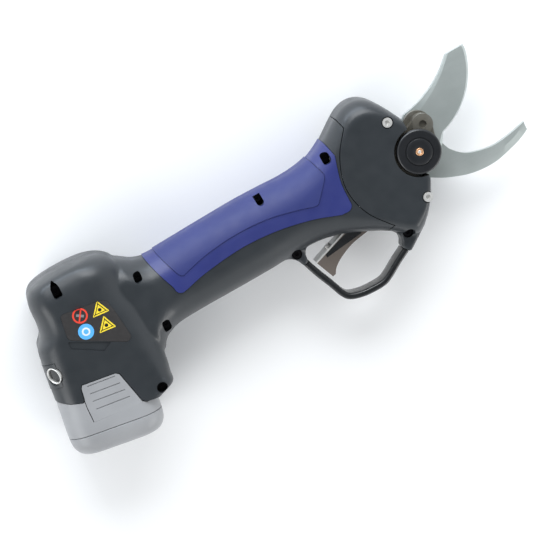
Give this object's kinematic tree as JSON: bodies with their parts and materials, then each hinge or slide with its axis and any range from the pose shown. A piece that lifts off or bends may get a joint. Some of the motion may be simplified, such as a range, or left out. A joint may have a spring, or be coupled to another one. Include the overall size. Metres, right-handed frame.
{
  "type": "battery electric pruner",
  "caption": "Cordless hand pruner: a hooked fixed blade and a motor-driven curved blade, a straight grip with guarded trigger, and a slide-off battery foot.",
  "frame": {"origin": "on the blade pivot's axis, where the left pivot cap rests on the ground; the tool lies on its left side", "axes": "+X along the grip towards the blades, +Y towards the top of the grip, +Z along the pivot's axis to the right side"},
  "size_m": [0.289, 0.0993, 0.054],
  "materials": {
    "slate_plastic": "satin moulded plastic, fine texture",
    "blue_plastic": "satin moulded plastic",
    "blue_rubber": "soft-touch rubber",
    "black_plastic": "satin black plastic",
    "label_film": "printed film with plain signs",
    "bright_metal": "bright plated",
    "blade_steel": "ground and coated steel",
    "gear_steel": "machined steel, greased",
    "bush_bronze": "sintered bronze",
    "disc_black": "satin black",
    "copper": "copper coloured metal",
    "cast_alloy": "die-cast, matt",
    "lead_red": "insulated wire",
    "board_green": "circuit board",
    "battery_plastic": "satin moulded plastic",
    "cell_wrap": "shrink wrap",
    "trigger_plastic": "satin moulded plastic",
    "black_steel": "blackened steel"
  },
  "bodies": {
    "housing": {"right_housing": "slate_plastic", "left_housing": "slate_plastic", "head_cover_right": "slate_plastic", "head_cover_left": "slate_plastic", "grip_cover_right": "blue_plastic", "grip_cover_left": "blue_plastic", "grip_pad_right": "blue_rubber", "grip_pad_left": "blue_rubber", "trigger_guard": "black_plastic", "label_plate": "label_film", "rear_bezel": "slate_plastic", "button_ring": "bright_metal", "fixed_blade": "blade_steel", "pivot_bolt": "gear_steel", "pivot_nut": "gear_steel", "thrust_washer": "gear_steel", "pivot_disc": "disc_black", "disc_ferrule": "copper", "pivot_cap_left": "disc_black", "gear_case": "cast_alloy", "gearbox_case": "cast_alloy", "ring_gear": "gear_steel", "shaft_bearings": "gear_steel", "motor_mount": "cast_alloy", "motor_can": "black_plastic", "motor_stator": "copper", "motor_bearings": "gear_steel", "motor_leads": "lead_red", "controller_board": "board_green", "socket_contacts": "black_plastic", "trigger_pin": "gear_steel", "trigger_spring": "gear_steel", "trigger_switch": "black_plastic", "housing_screws": "black_steel", "head_screws": "bright_metal"},
    "blade": {"moving_blade": "blade_steel", "sector_gear": "gear_steel", "drive_pin": "gear_steel", "pivot_bush": "bush_bronze"},
    "output": {"planet_carrier": "gear_steel", "planet_pins": "gear_steel", "output_shaft": "gear_steel", "drive_pinion": "gear_steel"},
    "planet_1": {"planet_gear_1": "gear_steel"},
    "planet_2": {"planet_gear_2": "gear_steel"},
    "planet_3": {"planet_gear_3": "gear_steel"},
    "rotor": {"motor_rotor": "gear_steel", "motor_shaft": "gear_steel", "sun_gear": "gear_steel"},
    "trigger": {"trigger_lever": "trigger_plastic", "trigger_core": "black_plastic", "trigger_leaf": "bright_metal", "leaf_screw": "bright_metal"},
    "button": {"power_button": "black_plastic"},
    "battery": {"battery_case": "battery_plastic", "battery_base": "battery_plastic", "battery_cells": "cell_wrap", "battery_terminals": "copper"},
    "latch_right": {"battery_latch_right": "battery_plastic"},
    "latch_left": {"battery_latch_left": "battery_plastic"}
  },
  "joints": [
    {"name": "blade_swing", "type": "hinge", "parent": "housing", "child": "blade", "pos_m": [0, 0, 0.026], "axis": [0, 0, 1], "range_deg": [-54, 0]},
    {"name": "output_spin", "type": "hinge", "parent": "housing", "child": "output", "pos_m": [-0.05, 0, 0.026], "axis": [1, 0, 0], "range_deg": [-243.5, 0.5]},
    {"name": "rotor_spin", "type": "hinge", "parent": "housing", "child": "rotor", "pos_m": [-0.12, 0, 0.026], "axis": [1, 0, 0], "range_deg": [-1094.5, 1]},
    {"name": "planet_1_spin", "type": "hinge", "parent": "output", "child": "planet_1", "pos_m": [-0.09, 0, 0.0341], "axis": [1, 0, 0], "range_deg": [-1, 681.4]},
    {"name": "planet_2_spin", "type": "hinge", "parent": "output", "child": "planet_2", "pos_m": [-0.09, -0.00701, 0.02195], "axis": [1, 0, 0], "range_deg": [-1, 681.4]},
    {"name": "planet_3_spin", "type": "hinge", "parent": "output", "child": "planet_3", "pos_m": [-0.09, 0.00701, 0.02195], "axis": [1, 0, 0], "range_deg": [-1, 681.4]},
    {"name": "trigger_pull", "type": "hinge", "parent": "housing", "child": "trigger", "pos_m": [-0.041, -0.0206, 0.026], "axis": [0, 0, -1], "range_deg": [0, 10], "stiffness_Nm_per_rad": 0.5, "springref_deg": -5.73},
    {"name": "button_press", "type": "slide", "parent": "housing", "child": "button", "axis": [0.766, 0, -0.6428], "range_m": [0, 0.001], "stiffness_N_per_m": 1200, "springref_m": -0.0005},
    {"name": "battery_slide", "type": "slide", "parent": "housing", "child": "battery", "axis": [-0.1736, -0.9848, 0], "range_m": [0, 0.07]},
    {"name": "latch_right_press", "type": "hinge", "parent": "battery", "child": "latch_right", "pos_m": [-0.2, -0.0395, 0.0485], "axis": [-0.9848, 0.1736, 0], "range_deg": [0, 1.8], "stiffness_Nm_per_rad": 2, "springref_deg": -1.15},
    {"name": "latch_left_press", "type": "hinge", "parent": "battery", "child": "latch_left", "pos_m": [-0.2, -0.0395, 0.0035], "axis": [0.9848, -0.1736, 0], "range_deg": [0, 1.8], "stiffness_Nm_per_rad": 2, "springref_deg": -1.15}
  ],
  "couplings": [
    {"joint": "output_spin", "follows": "blade_swing", "ratio": 4.5},
    {"joint": "rotor_spin", "follows": "blade_swing", "ratio": 20.25},
    {"joint": "planet_1_spin", "follows": "blade_swing", "ratio": -12.6},
    {"joint": "planet_2_spin", "follows": "blade_swing", "ratio": -12.6},
    {"joint": "planet_3_spin", "follows": "blade_swing", "ratio": -12.6}
  ]
}
